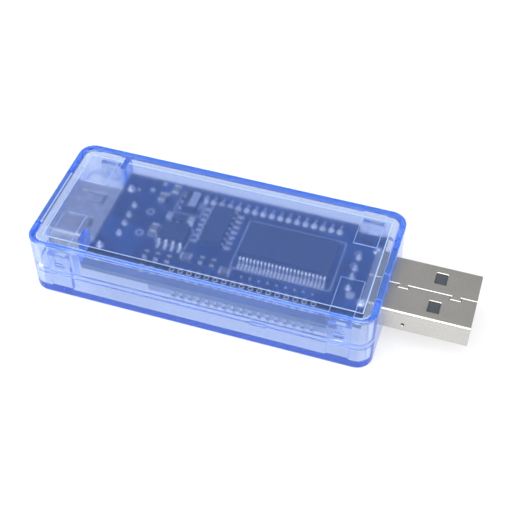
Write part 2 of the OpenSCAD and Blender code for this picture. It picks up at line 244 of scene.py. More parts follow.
def lamp(towards, inner, outer, power):
    """A soft round lamp in the sky: full inside `inner` degrees of its middle, none past `outer`."""
    axis = Vector(towards).normalized()
    sockets = {0: direction, 1: axis}
    cosine = sky.node("ShaderNodeVectorMath", {"operation": "DOT_PRODUCT"}, sockets, "Value")
    return cosine.fade(math.cos(math.radians(outer)), math.cos(math.radians(inner))) * power


EVEN_LIGHT = 0.42
glow = EVEN_LIGHT + lamp((-0.2, -0.5, 1), 25, 52, 3.0)
glow = glow + lamp((-1, -0.2, 0.5), 14, 40, 1.2) + lamp((1, -0.3, 0.6), 14, 40, 1.0)
glow = glow - lamp((-0.2, -1, 0.16), 10, 22, 0.34)
background = sky.node("ShaderNodeBackground", {}, {"Color": (1, 1, 1, 1), "Strength": glow})
sky.node("ShaderNodeOutputWorld", {}, {"Surface": background})
print("sky:", len(world.node_tree.nodes), "nodes")

# %% [markdown]
# The floor is a wide pale sheet. The case stands a hair above it so that the two faces don't fight.
# Light crosses many walls inside the clear case, so the renderer may follow it through 64 of them.

# %% Floor


def finish_floor():
    material, graph = new_material("pale_floor")
    grain = graph.noise(3.0)
    surface(graph, Base_Color=graph.tint(grain, (0.3, 0.3, 0.3), (0.26, 0.26, 0.26)), Roughness=0.7,
            Emission_Color=(1, 1, 1, 1), Emission_Strength=0.64)
    return material


FLOOR_SIZE = 8
FLOOR_GAP = 0.05
MOST_BOUNCES = 64
bpy.ops.mesh.primitive_plane_add(size=FLOOR_SIZE, location=(0, 0, -FLOOR_GAP * MM))
floor = bpy.context.object
floor.name = "floor"
floor.data.materials.append(finish_floor())

view = bpy.context.scene.view_settings
view.view_transform = "Standard"
cycles = bpy.context.scene.cycles
cycles.max_bounces = MOST_BOUNCES
cycles.transmission_bounces = MOST_BOUNCES
cycles.glossy_bounces = MOST_BOUNCES
cycles.diffuse_bounces = 4
cycles.sample_clamp_indirect = 6
print("floor", FLOOR_SIZE, "m wide")

# %% [markdown]
# ## Clear blue plastic
# Polycarbonate bends light (IOR 1.58) and takes red out of every millimetre that light travels
# inside it, so one even tint gives pale faces and deeper ends. Where the moulding isn't simply clear,
# a factor from 0 to 1 says so: the panel inside the ceiling is finely frosted, painted highlight
# lines run round the panel and the pads, a painted blue glow lies on the rounded outer edges, and
# the ribs and the walls are a little cloudy. All the factors come from where a point is on the case.

# %% Where the plastic isn't clear
BORDER = 1.27
PAD_MIDDLE = 24.4
PAD_LENGTH = 4
PAD_INNER = 3.9
RIB_X = -21.05
RIB_HALF = 0.5
RIB_BASE = 6


def past_outline(across, along, inset):
    """How far a point is past the case's outline, when that is moved in by inset."""
    return (across - (LENGTH / 2 - inset) * MM).larger(along - (WIDTH / 2 - inset) * MM)


def plastic_factors(graph):
    """The frosted panel, the painted highlight lines, the painted rim glow, the ribs and the walls."""
    x, y, z = graph.place().parts()
    across, along = abs(x), abs(y)
    near_ceiling = 1 - abs(z - (CEILING + 0.05) * MM).fade(0.1 * MM, 0.14 * MM)
    from_panel = past_outline(across, along, WALL + BORDER)
    frosted = (1 - from_panel.fade(-0.03 * MM, 0.03 * MM)) * near_ceiling
    from_pad = (abs(across - PAD_MIDDLE * MM) - PAD_LENGTH / 2 * MM).larger(PAD_INNER * MM - along)
    # Painted highlights: thin white lines along the edge of the frosted panel and round the ceiling pads,
    # where the steps catch light.
    panel_highlight_line = 1 - abs(from_panel).fade(0.08 * MM, 0.13 * MM)
    pad_highlight_line = (1 - abs(from_pad).fade(0.03 * MM, 0.08 * MM)) * 0.6
    painted_highlight_lines = panel_highlight_line.larger(pad_highlight_line) * near_ceiling
    # Painted rim glow: a painted blue highlight along the rounded top rims and a stronger painted blue
    # glow along the rounded bottom rims.
    painted_upper_rim_glow = z.fade((HEIGHT - EDGE) * MM, HEIGHT * MM) * 0.6
    painted_lower_rim_glow = (1 - z.fade(0, EDGE * MM)) * 1.5
    painted_rim_glow = past_outline(across, along, EDGE).fade(0, EDGE * MM) * (painted_upper_rim_glow + painted_lower_rim_glow)
    ribs = 1 - abs(x - RIB_X * MM).fade((RIB_HALF - 0.02) * MM, (RIB_HALF + 0.05) * MM)
    ribs = ribs * z.fade((RIB_BASE - 0.1) * MM, (RIB_BASE + 0.1) * MM)
    ribs = ribs * (1 - z.fade((CEILING - 0.35) * MM, (CEILING - 0.15) * MM))
    ribs = ribs * (1 - along.fade((WIDTH / 2 - 0.6) * MM, (WIDTH / 2 - 0.5) * MM))
    walls = past_outline(across, along, WALL).fade(-0.08 * MM, -0.03 * MM)
    return frosted, painted_highlight_lines, painted_rim_glow, ribs, walls


# %% [markdown]
# The clear shader lies underneath, and three plain ones are mixed over it by those factors: a milky
# blue haze, a painted deep blue glow on the rims and a painted white highlight on the lines. All three
# glow faintly through their Emission, a painted glow standing in for light that clear plastic carries.

# %% Clear blue plastic


def plain_shader(graph, colour, rough, glow_colour, strength):
    """A dull shader with a faint painted glow."""
    sockets = {"Base Color": (*colour, 1), "Roughness": rough, "Emission Color": (*glow_colour, 1),
               "Emission Strength": strength}
    return graph.node("ShaderNodeBsdfPrincipled", {}, sockets)


def finish_clear_blue():
    material, graph = new_material("clear_blue_plastic")
    frosted, painted_highlight_lines, painted_rim_glow, ribs, walls = plastic_factors(graph)
    grain = graph.noise(0.25, 2.0)
    smear = graph.noise(6.0, 3.0)
    layers = graph.node("ShaderNodeBsdfPrincipled", {}, {
        "Base Color": (1, 1, 1, 1),
        "Roughness": 0.01 + smear * 0.03 + frosted * 0.22,
        "IOR": 1.58,
        "Transmission Weight": 1.0,
    })
    # The haze is partly real cloudiness of the frosted panel, ribs and walls, and partly a painted blue
    # glow from the milky layer's Emission.
    haze_and_glow = 0.025 + frosted * (0.05 + grain * 0.18) + ribs * 0.3 + walls * 0.1
    milk_and_painted_glow = plain_shader(graph, (0.06, 0.28, 1), 0.5, (0.03, 0.22, 1), 0.33)
    # Painted glow for the rims: a deep blue that glows by its own Emission.
    painted_rim_glow_shader = plain_shader(graph, (0.05, 0.18, 1), 0.3, (0.05, 0.18, 1), 0.45)
    # A painted white highlight for those lines, glowing by its own Emission.
    painted_highlight_shader = plain_shader(graph, (0.7, 0.8, 0.95), 0.6, (0.7, 0.85, 1), 0.4)
    for factor, layer in ((haze_and_glow, milk_and_painted_glow), (painted_rim_glow * 0.6, painted_rim_glow_shader), (painted_highlight_lines * 0.9, painted_highlight_shader)):
        layers = graph.node("ShaderNodeMixShader", {}, {0: factor, 1: layers, 2: layer})
    tint = {"Color": (0.09, 0.43, 0.93, 1), "Density": 135.0}
    depth = graph.node("ShaderNodeVolumeAbsorption", {}, tint)
    graph.node("ShaderNodeOutputMaterial", {}, {"Surface": layers, "Volume": depth})
    print("clear blue plastic:", len(material.node_tree.nodes), "nodes")
    return material


clear_blue = finish_clear_blue()

# %% [markdown]
# ## Shapes
# Nearly every moulded or pressed piece here is a skin over a stack of outlines, so one function makes
# the skin, and small ones make the outlines.

# %% Mesh helpers


def make_piece(name, shape, material):
    """A smooth mesh object from (points in millimetres, faces), with its normals facing out."""
    points, faces = shape
    mesh = bpy.data.meshes.new(name)
    mesh.from_pydata([Vector(p) * MM for p in points], [], faces)
    shell = bmesh.new()
    shell.from_mesh(mesh)
    bmesh.ops.recalc_face_normals(shell, faces=shell.faces)
    shell.to_mesh(mesh)
    shell.free()
    piece = bpy.data.objects.new(name, mesh)
    bpy.context.scene.collection.objects.link(piece)
    piece.data.materials.append(material)
    return piece


def skin(rings, closed=False):
    """Points and faces of a skin over rings of equally many points, capped unless it closes on itself."""
    count = len(rings[0])
    points = [p for ring in rings for p in ring]
    faces = []
    for r in range(len(rings) if closed else len(rings) - 1):
        here, there = r * count, (r + 1) % len(rings) * count
        for i in range(count):
            j = (i + 1) % count
            faces.append((here + i, here + j, there + j, there + i))
    if not closed:
        faces.append(tuple(range(count))[::-1])
        faces.append(tuple(range(len(points) - count, len(points))))
    return points, faces


def join(shapes):
    """Several shapes as one."""
    points, faces = [], []
    for more_points, more_faces in shapes:
        start = len(points)
        points.extend(more_points)
        faces.extend(tuple(start + i for i in face) for face in more_faces)
    return points, faces


def rounded_rect(length, width, radius, steps=8):
    """The outline of a rectangle with round corners, about (0, 0)."""
    outline = []
    for turn, (sx, sy) in enumerate(((1, 1), (-1, 1), (-1, -1), (1, -1))):
        for step in range(steps + 1):
            angle = math.pi / 2 * (turn + step / steps)
            outline.append((sx * (length / 2 - radius) + radius * math.cos(angle),
                            sy * (width / 2 - radius) + radius * math.sin(angle)))
    return outline


def block(low, high, radius=0.05, steps=2):
    """A box from low to high with its upright edges rounded and its flat edges bevelled."""
    low, high = Vector(low), Vector(high)
    middle, size = (low + high) / 2, high - low
    rings = []
    for inset, z in ((radius / 2, low.z), (0, low.z + radius / 2), (0, high.z - radius / 2),
                     (radius / 2, high.z)):
        outline = rounded_rect(size.x - 2 * inset, size.y - 2 * inset, radius, steps)
        rings.append([(middle.x + x, middle.y + y, z) for x, y in outline])
    return skin(rings)


def prism(outline, axis, low, high):
    """An outline pushed straight along X or Z from low to high."""
    if axis == "X":
        return skin([[(x, u, v) for u, v in outline] for x in (low, high)])
    return skin([[(u, v, z) for u, v in outline] for z in (low, high)])


def rounded_path(points, radius, steps=3):
    """A bent line whose corners are rounded."""
    path = [points[0]]
    for before, corner, after in zip(points, points[1:], points[2:]):
        start = corner + (before - corner).normalized() * radius
        stop = corner + (after - corner).normalized() * radius
        for step in range(steps + 1):
            t = step / steps
            path.append(start * (1 - t) ** 2 + corner * 2 * t * (1 - t) + stop * t * t)
    return path + [points[-1]]


def strip(path, middle, out, side, width, thickness):
    """A flat strip along path, whose points are (distance along out, height)."""
    rings = []
    for i, point in enumerate(path):
        ahead = (path[min(i + 1, len(path) - 1)] - path[max(i - 1, 0)]).normalized()
        up = Vector((-ahead.y, ahead.x))
        ring = []
        for across, lift in ((-1, -1), (1, -1), (1, 1), (-1, 1)):
            flat = point + up * lift * thickness / 2
            spot = middle + out * flat.x + side * across * width / 2
            ring.append((spot.x, spot.y, flat.y))
        rings.append(ring)
    return skin(rings)


def carve(piece, shape, operation="DIFFERENCE"):
    """Cuts a shape out of a piece, or merges it in with UNION."""
    tool = make_piece("tool", shape, piece.data.materials[0])
    change = piece.modifiers.new("carve", "BOOLEAN")
    change.operation = operation
    change.solver = "EXACT"
    change.object = tool
    settle(piece)
    bpy.data.objects.remove(tool)


def settle(piece):
    """Makes a piece's modifiers permanent."""
    bpy.context.view_layer.update()
    shaped = piece.evaluated_get(bpy.context.evaluated_depsgraph_get())
    mesh = bpy.data.meshes.new_from_object(shaped)
    piece.modifiers.clear()
    piece.data = mesh


def smooth(piece, limit=30):
    """Shades curves smooth while edges sharper than limit degrees stay sharp and flats stay flat."""
    piece.data.shade_smooth()
    piece.data.set_sharp_from_angle(angle=math.radians(limit))
    piece.modifiers.new("flat faces", "WEIGHTED_NORMAL").keep_sharp = True
    return piece


def fit(piece, body, slot, *nodes):
    """Hands a piece over: what it rides on and the CAD nodes that it stands for; its finish's slot is not
    used.
    """
    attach(piece, body)
    if nodes:
        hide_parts(*nodes)
    print(piece.name, len(piece.data.polygons), "faces")
    return piece


# %% [markdown]
# ## The two case shells
# Each shell is one moulding. Its section is a short list of (distance in from the outline, height)
# pairs, and the skin carries that section round the case. The windows, ribs and catches are
# cut or merged afterwards. The two shells are a hair apart at the parting line, as real ones are, and
# light needs that gap to turn there.

# %% Case sections
GAP = 0.03
SKIRT = 0.5
LIP_FACE = 0.55
INNER_BEND = 0.3
PANEL_STEP = 0.09
BEND_STEPS = 5


def case_ring(inset, z):
    outline = rounded_rect(LENGTH - 2 * inset, WIDTH - 2 * inset, max(CORNER - inset, 0.4))
    return [(x, y, z) for x, y in outline]


def bend(inset, z, radius, up):
    """A quarter bend about (inset, z), from its outermost point to its highest or lowest."""
    angles = [math.radians(90) * step / BEND_STEPS for step in range(BEND_STEPS + 1)]
    return [(inset - radius * math.cos(a), z + up * radius * math.sin(a)) for a in angles]


upper_section = bend(EDGE, HEIGHT - EDGE, EDGE, 1)[::-1] + [
    (0, PARTING + GAP + 0.06), (0.06, PARTING + GAP), (SKIRT - 0.04, PARTING + GAP),
    (SKIRT, PARTING + GAP + 0.04), (SKIRT, PARTING + LIP + 0.08), (WALL - 0.04, PARTING + LIP + 0.08),
    (WALL, PARTING + LIP + 0.12),
] + bend(WALL + INNER_BEND, CEILING + PANEL_STEP - INNER_BEND, INNER_BEND, 1) + [
    (WALL + BORDER - PANEL_STEP / 2, CEILING + PANEL_STEP), (WALL + BORDER + PANEL_STEP / 2, CEILING),
]
lower_section = bend(EDGE, EDGE, EDGE, -1)[::-1] + [
    (0, PARTING - GAP - 0.06), (0.06, PARTING - GAP), (LIP_FACE, PARTING - GAP),
    (LIP_FACE, PARTING + LIP - 0.05), (LIP_FACE + 0.05, PARTING + LIP),
    (WALL - 0.05, PARTING + LIP), (WALL, PARTING + LIP - 0.05),
] + bend(WALL + INNER_BEND, SKIN + INNER_BEND, INNER_BEND, -1)
upper_case = make_piece("upper_case", skin([case_ring(*p) for p in upper_section]), clear_blue)
lower_case = make_piece("lower_case", skin([case_ring(*p) for p in lower_section]), clear_blue)
print("case sections:", len(upper_section), "and", len(lower_section), "outlines")

# %% [markdown]
# The windows for the plug and the socket, the nick for prising the case open, and the shallow
# pads in the ceiling over the snap arms are cut out.

# %% Cut the openings
CLEARANCE = 0.1
PLUG_HEIGHT = 4.5
SOCKET_HALF = 6.55
SOCKET_TOP = 8.26
NICK = Vector((11, -WIDTH / 2, PARTING))
NICK_HALF = Vector((1.35, 0.25, 0.5))
inner_half = WIDTH / 2 - WALL


def window(low, high, end):
    """A round-cornered hole for a metal shell, through the end wall at X = end."""
    middle, size = (low + high) / 2, high - low
    outline = rounded_rect(size.y + 2 * CLEARANCE, size.z + 2 * CLEARANCE, 0.6, 4)
    shifted = [(y + middle.y, z + middle.z) for y, z in outline]
    return prism(shifted, "X", end - 2 * WALL, end + 2 * WALL)


plug_body_low = Vector((plug_low.x, plug_low.y, plug_high.z - PLUG_HEIGHT))
socket_tube_low = Vector((socket_low.x, -SOCKET_HALF, socket_low.z))
socket_tube_high = Vector((socket_high.x, SOCKET_HALF, SOCKET_TOP))
for shell in (upper_case, lower_case):
    carve(shell, window(plug_body_low, plug_high, LENGTH / 2))
    carve(shell, window(socket_tube_low, socket_tube_high, -LENGTH / 2))
    carve(shell, block(NICK - NICK_HALF, NICK + NICK_HALF, 0.1))
for side in (-1, 1):
    for end in (-1, 1):
        ys = sorted((side * PAD_INNER, side * (inner_half + 0.02)))
        low = (end * PAD_MIDDLE - PAD_LENGTH / 2, ys[0], CEILING - 1)
        high = (end * PAD_MIDDLE + PAD_LENGTH / 2, ys[1], CEILING + PANEL_STEP + 0.05)
        carve(upper_case, block(low, high, 0.12, 3))
print("openings cut, upper case now has", len(upper_case.data.polygons), "faces")

# %% [markdown]
# Four springy arms stand up from the lower shell, and wedge-shaped catches on the upper shell click
# into their windows. Two ribs under the ceiling keep the board from sliding towards the socket.

# %% Arms, catches and ribs
ARM_LENGTH = 3.8
ARM_TOP = 9.3
ARM_SHEET = 0.8
CATCH_LOW, CATCH_HIGH = 6.2, 7.7
CATCH_REACH = 0.75
CATCH_HALF = 0.75
CATCH_ROOM = 0.15
MERGE = 0.3
RIBS = ((-9.8, -6.8), (8.6, inner_half + MERGE))
arm_face = inner_half - 0.1
arm_profile = [(arm_face - ARM_SHEET, SKIN - 0.2), (inner_half + MERGE, SKIN - 0.2),
               (inner_half + MERGE, PARTING - 0.1), (arm_face, PARTING - 0.1),
               (arm_face, ARM_TOP - 0.1), (arm_face - 0.1, ARM_TOP),
               (arm_face - ARM_SHEET + 0.1, ARM_TOP), (arm_face - ARM_SHEET, ARM_TOP - 0.1)]
catch_profile = [(inner_half + 0.2, CATCH_LOW), (inner_half - CATCH_REACH, CATCH_LOW),
                 (inner_half - CATCH_REACH, CATCH_LOW + 0.1), (inner_half, CATCH_HIGH),
                 (inner_half + 0.2, CATCH_HIGH)]
for side in (-1, 1):
    for middle in (-PAD_MIDDLE, PAD_MIDDLE):
        arm = prism([(side * y, z) for y, z in arm_profile], "X", middle - ARM_LENGTH / 2,
                    middle + ARM_LENGTH / 2)
        carve(lower_case, arm, "UNION")
        ys = sorted((side * (arm_face - 1), side * (arm_face + 0.05)))
        hole_half = CATCH_HALF + CATCH_ROOM
        hole = block((middle - hole_half, ys[0], CATCH_LOW - CATCH_ROOM),
                     (middle + hole_half, ys[1], CATCH_HIGH + CATCH_ROOM), 0.1)
        carve(lower_case, hole)
        wedge = prism([(side * y, z) for y, z in catch_profile], "X", middle - CATCH_HALF,
                      middle + CATCH_HALF)
        carve(upper_case, wedge, "UNION")
for low_y, high_y in RIBS:
    rib = block((RIB_X - RIB_HALF, low_y, RIB_BASE), (RIB_X + RIB_HALF, high_y, CEILING + 0.4), 0.3, 4)
    carve(upper_case, rib, "UNION")
smooth(upper_case)
smooth(lower_case)
fit(upper_case, BODY, "clear_blue_plastic", "upper_shell")
fit(lower_case, BODY, "clear_blue_plastic", "lower_shell")

# %% [markdown]
# ## Metals, mouldings and board finishes
# Each finish is a short function. Its pattern has the size of the real one: rolling marks on sheet
# steel, glass fibre in black mouldings, the copper tracks that show through solder mask.

# %% Sheet steel


def finish_steel():
    """Nickel-plated sheet: fine rolled grain, and a satin roughness that varies with it."""
    material, graph = new_material("satin_plate")
    grain = graph.noise(0.16, 3.0, (0.6, 1, 1))
    cloud = graph.noise(3.0, 2.0)
    shade = grain * 0.8 + cloud * 0.2
    surface(graph, Base_Color=graph.tint(shade.fade(0.35, 0.65), (0.53, 0.52, 0.5), (0.6, 0.59, 0.57)),
            Metallic=1.0, Roughness=0.26 + shade * 0.16, Normal=graph.bump(grain, 0.01, 0.9))
    return material


def finish_bright_metal(name, colour, rough, patch):
    """Plated metal or solder: bright, with soft patches that vary its gloss."""
    material, graph = new_material(name)
    cloud = graph.noise(patch, 3.0)
    dull = tuple(c * 0.8 for c in colour)
    surface(graph, Base_Color=graph.tint(cloud.fade(0.3, 0.7), colour, dull), Metallic=1.0,
            Roughness=rough + cloud * 0.15, Normal=graph.bump(cloud, 0.02, 0.5))
    return material


# %% [markdown]
# Filled plastic, ceramic and film aren't metal, so their colour carries the look. A fine grain and a
# wider cloudiness keep them from looking like flat paint.

# %% Mouldings and ceramics


def finish_moulding(name, colour, rough, grain_size=0.12, depth=0.004):
    """Filled plastic or ceramic: a faint grain in colour, gloss and height."""
    material, graph = new_material(name)
    grain = graph.noise(grain_size, 4.0)
    cloud = graph.noise(1.8)
    pale = tuple(min(1.0, c * 1.35 + 0.004) for c in colour)
    surface(graph, Base_Color=graph.tint((grain * 0.6 + cloud * 0.4).fade(0.3, 0.7), colour, pale),
            Roughness=rough + grain * 0.15, Normal=graph.bump(grain, depth, 0.6))
    return material


def finish_film(name, colour, rough):
    """A thin plastic film with a faint cloudiness."""
    material, graph = new_material(name)
    cloud = graph.noise(3.0, 3.0)
    pale = tuple(min(1.0, c * 1.15) for c in colour)
    surface(graph, Base_Color=graph.tint(cloud, colour, pale), Roughness=rough + cloud * 0.08,
            Normal=graph.bump(cloud, 0.01, 0.3))
    return material


# %% [markdown]
# The board is laminate under a blue solder mask. Copper tracks lift the mask a little and make it
# paler, so the mask is a grid of tracks that bends now and then, and the cut edge shows bare laminate.

# %% Solder mask


def finish_board():
    material, graph = new_material("solder_mask")
    x, y, z = graph.place().parts()
    sway = graph.noise(6.0, 1.0) * 0.004
    along = graph.node("ShaderNodeMath", {"operation": "PINGPONG"}, {0: y + sway, 1: 0.45 * MM})
    across = graph.node("ShaderNodeMath", {"operation": "PINGPONG"}, {0: x + sway, 1: 0.8 * MM})
    tracks = 1 - along.smaller(across).fade(0.08 * MM, 0.13 * MM)
    patches = graph.noise(5.0, 1.0).fade(0.48, 0.52)
    copper = (tracks * patches).larger(graph.noise(9.0, 0.0).fade(0.56, 0.58))
    mask = graph.tint(copper, (0.004, 0.016, 0.075), (0.01, 0.045, 0.16))
    inner = abs(z - (BOARD_TOP + BOARD_UNDER) / 2 * MM)
    edge = 1 - inner.fade(0.485 * MM, 0.495 * MM)
    fibre = graph.noise(0.25, 4.0, (1, 1, 4))
    laminate = graph.tint(fibre, (0.16, 0.17, 0.12), (0.26, 0.26, 0.18))
    surface(graph, Base_Color=graph.tint(edge, mask, laminate), Roughness=0.28 + edge * 0.4,
            Normal=graph.bump(copper, 0.03, 0.7))
    return material


# %% [markdown]
# Display glass gets the same treatment as the case: real refraction and a tint that deepens with
# distance. Its cut edges are ground matt.

# %% Display glass


def finish_glass():
    material, graph = new_material("display_glass")
    x, y, _ = graph.place().parts()
    middle_x = (glass_low.x + glass_high.x) / 2 * MM
    past_end = abs(x - middle_x) - (glass_high.x - glass_low.x) / 2 * MM
    from_edge = past_end.larger(abs(y) - glass_high.y * MM)
    ground = from_edge.fade(-0.05 * MM, -0.02 * MM)
    smear = graph.noise(4.0, 3.0)
    clear = graph.node("ShaderNodeBsdfPrincipled", {}, {
        "Base Color": (1, 1, 1, 1), "Roughness": 0.01 + smear * 0.05, "IOR": 1.52,
        "Transmission Weight": 1.0})
    matt = {"Base Color": (0.78, 0.84, 0.86, 1), "Roughness": 0.6}
    edge = graph.node("ShaderNodeBsdfPrincipled", {}, matt)
    mixed = graph.node("ShaderNodeMixShader", {}, {0: ground * 0.85, 1: clear, 2: edge})
    tint = {"Color": (0.7, 0.88, 0.84, 1), "Density": 30.0}
    depth = graph.node("ShaderNodeVolumeAbsorption", {}, tint)
    graph.node("ShaderNodeOutputMaterial", {}, {"Surface": mixed, "Volume": depth})
    return material


# %% [markdown]
# The display's clip pins are crimped strips. Each has two dark marks where the crimp bites the glass.

# %% Clip pins
UPPER_BITE = 3.95
LOWER_BITE = 2.55


def finish_pins():
    material, graph = new_material("clip_pins")
    _, _, z = graph.place().parts()
    upper = 1 - abs(z - UPPER_BITE * MM).fade(0.25 * MM, 0.35 * MM)
    lower = 1 - abs(z - LOWER_BITE * MM).fade(0.15 * MM, 0.22 * MM)
    grain = graph.noise(0.4)
    bright = graph.tint(grain, (0.8, 0.8, 0.82), (0.6, 0.6, 0.62))
    surface(graph, Base_Color=graph.tint(upper.larger(lower), bright, (0.02, 0.02, 0.03)), Metallic=1.0,
            Roughness=0.35 + grain * 0.1, Normal=graph.bump(grain, 0.01, 0.4))
    return material


# %% [markdown]
# The record gives every CAD node a material slot, so the finishes are kept by slot. The socket's
# steel and the tin of the small parts are used by name as well.

# %% Finishes by slot
socket_steel = finish_bright_metal("bright_plate", (0.7, 0.68, 0.66), 0.38, 1.2)
tin = finish_bright_metal("bright_tin", (0.92, 0.92, 0.94), 0.22, 0.5)
finishes = {
    "board_laminate": finish_board(),
    "plug_steel": finish_steel(),
    "contact_metal": finish_bright_metal("gold_flash", (0.86, 0.66, 0.32), 0.2, 0.8),
    "black_insulator": finish_moulding("black_insulator", (0.035, 0.04, 0.05), 0.42),
    "white_insulator": finish_moulding("white_insulator", (0.58, 0.58, 0.55), 0.45),
    "display_glass": finish_glass(),
    "polarizer_film": finish_film("polarizer_film", (0.18, 0.22, 0.2), 0.25),
    "light_guide_acrylic": finish_film("light_guide", (0.8, 0.86, 0.92), 0.3),
    "white_film": finish_film("white_film", (0.85, 0.85, 0.85), 0.5),
    "tinned_metal": tin,
    "chip_epoxy": finish_moulding("chip_epoxy", (0.03, 0.034, 0.045), 0.4, 0.1, 0.006),
    "led_package": finish_moulding("led_package", (0.82, 0.76, 0.5), 0.35),
    "ceramic": finish_moulding("ceramic", (0.2, 0.17, 0.14), 0.45),
    "clear_blue_plastic": clear_blue,
}
print("finishes:", ", ".join(finishes))

# %% [markdown]
# Every CAD node gets its finish. Their edges are welded and rounded a little by modifiers, because a
# perfectly sharp edge never catches light. Nodes that get a better piece below are hidden by it.

# %% Finish the CAD nodes
SOFT_EDGE = {"plug_steel": 0.03, "contact_metal": 0.03, "black_insulator": 0.05, "white_insulator": 0.06,
             "display_glass": 0.05, "light_guide_acrylic": 0.1, "led_package": 0.06}
FINE_EDGE = 0.02
slots = {row["node"]: row["material_slot"] for row in frame["record"]["subparts"]}


def soften(piece, width):
    """Rounds a CAD node's edges with modifiers, which leave its own mesh as it is."""
    weld = piece.modifiers.new("weld", "WELD")
    weld.merge_threshold = 0.001 * MM
    flat = piece.modifiers.new("flat", "DECIMATE")
    flat.decimate_type = "DISSOLVE"
    flat.angle_limit = math.radians(1)
    soft = piece.modifiers.new("soft", "BEVEL")
    soft.width = width * MM
    soft.segments = 2
    soft.limit_method = "ANGLE"
    soft.angle_limit = math.radians(35)
    piece.modifiers.new("flat faces", "WEIGHTED_NORMAL")


clip_pins = finish_pins()
for name, piece in frame["nodes"].items():
    piece.data.materials.clear()
    piece.data.materials.append(clip_pins if name.startswith("lcd_pins") else finishes[slots[name]])
    soften(piece, SOFT_EDGE.get(slots[name], FINE_EDGE))
print("finished", len(slots), "CAD nodes")

# %% [markdown]
# ## The plug
# The shell is one strip of steel, bent into a box and locked by a dovetailed seam along its top.
# It is drawn as a tube with a rolled front edge. The latch holes, the seam and the side dimples are
# cut out, and then every cut edge is rounded: those edges are what shine.

# %% Plug shell
SHEET = 0.3
TIP_BEND = 0.1
PLUG_CORNER = 0.42
HOLE = Vector((37.8, 3.15))
HOLE_SIZE = Vector((2.0, 2.4))
SEAM_TAILS = (32.15, 40.85)
DIMPLE_X = 33.5
DIMPLE_DROP = 0.6
CHAMFER = 0.09
plug_middle = plug_high.z - PLUG_HEIGHT / 2


def tube_ring(x, inset, size, corner, middle):
    """A ring round a metal shell whose section is size (width, height), centred at height middle."""
    outline = rounded_rect(size[0] - 2 * inset, size[1] - 2 * inset, max(corner - inset, 0.1))
    return [(x, y, middle + z) for y, z in outline]


def metal_tube(start, stop, *section):
    """A thin metal tube along X with rolled edges at both ends."""
    rings = []
    for end, way in ((start, 1), (stop, -1)):
        bend_in = [(end + way * TIP_BEND, 0), (end + way * TIP_BEND * 0.3, TIP_BEND * 0.3),
                   (end, TIP_BEND), (end, SHEET - 0.05), (end + way * 0.05, SHEET)]
        rings.append([tube_ring(x, inset, *section) for x, inset in bend_in])
    return skin(rings[0][::-1] + rings[1], closed=True)


def punch(piece, low, high, surface_z, chamfer):
    """Cuts a round-cornered hole whose rim at surface_z is chamfered."""
    middle, size = (low + high) / 2, high - low
    up = 1 if surface_z > plug_low.z + 1 else -1
    rings = []
    for grow, depth in ((0, SHEET + 0.5), (0, chamfer), (chamfer * 1.5, -chamfer * 0.5)):
        outline = rounded_rect(size.x + 2 * grow, size.y + 2 * grow, 0.12 + grow, 3)
        rings.append([(middle.x + x, middle.y + y, surface_z - up * depth) for x, y in outline])
    carve(piece, skin(rings))


def ribbon(points, width):
    """The outline of a thin strip that follows points."""
    sides = ([], [])
    for i, point in enumerate(points):
        before = (point - points[i - 1]).normalized() if i else None
        after = (points[i + 1] - point).normalized() if i + 1 < len(points) else None
        ahead = ((before or after) + (after or before)).normalized()
        across = Vector((-ahead.y, ahead.x))
        reach = width / 2 / max(0.3, abs(across.dot(Vector((-(after or before).y, (after or before).x)))))
        sides[0].append(point + across * reach)
        sides[1].append(point - across * reach)
    return [tuple(p) for p in sides[0] + sides[1][::-1]]


def seam_path():
    path = [Vector((plug_body_low.x - 1, 0))]
    for middle in SEAM_TAILS:
        path += [Vector((middle + dx, dy)) for dx, dy in
                 ((-0.8, 0), (-0.98, -0.78), (0.98, -0.78), (0.8, 0))]
    return path + [Vector((plug_high.x + 1, 0))]


plug_section = ((plug_high.y - plug_low.y, PLUG_HEIGHT), PLUG_CORNER, plug_middle)
plug_tube = metal_tube(plug_body_low.x + 0.05, plug_high.x, *plug_section)
plug_shell = make_piece("plug_shell", plug_tube, finishes["plug_steel"])
for side in (-1, 1):
    corner = Vector((HOLE.x - HOLE_SIZE.x / 2, side * HOLE.y - HOLE_SIZE.y / 2))
    for surface_z in (plug_high.z, plug_high.z - PLUG_HEIGHT):
        punch(plug_shell, corner, corner + HOLE_SIZE, surface_z, CHAMFER)
    rings = []
    for radius, depth in ((0.24, 0.5), (0.24, 0.14), (0.32, 0.05), (0.42, -0.03)):
        dent = rounded_rect(2 * radius, 2 * radius, radius * 0.98, 4)
        rings.append([(DIMPLE_X + u, side * (plug_high.y - depth), plug_middle - DIMPLE_DROP + v)
                      for u, v in dent])
    carve(plug_shell, skin(rings))
path = seam_path()
groove = []
for width, depth in ((0.06, SHEET + 0.5), (0.06, 0.1), (0.32, -0.03)):
    groove.append([(x, y, plug_high.z - depth) for x, y in ribbon(path, width)])
carve(plug_shell, skin(groove))
smooth(plug_shell)

# %% [markdown]
# Two tabs at the back of the shell step over the board's edge and drop into slots.

# %% Plug tabs
TAB_Y = (5.7, 6)
STEP_X = (26.7, 28.4)
TONGUE_X = (26.2, 26.85)
TAB_TOP = BOARD_TOP + 0.45
tabs = []
for side in (-1, 1):
    near, far = sorted(side * y for y in TAB_Y)
    for xs, bottom in ((STEP_X, BOARD_TOP + 0.05), (TONGUE_X, BOARD_UNDER - 0.4)):
        tabs.append(block((xs[0], near, bottom), (xs[1], far, TAB_TOP), 0.1))
plug_tabs = smooth(make_piece("plug_tabs", join(tabs), finishes["plug_steel"]))
fit(plug_shell, BODY, "plug_steel", "usb_plug_shell")
fit(plug_tabs, BODY, "plug_steel", "usb_plug_shell")

# %% [markdown]
# The socket's shell is a wider tube of the same steel. Two springs are cut free in its top and two in
# its bottom, and their tips dip inwards to grip a plug. Two legs step out to the board.

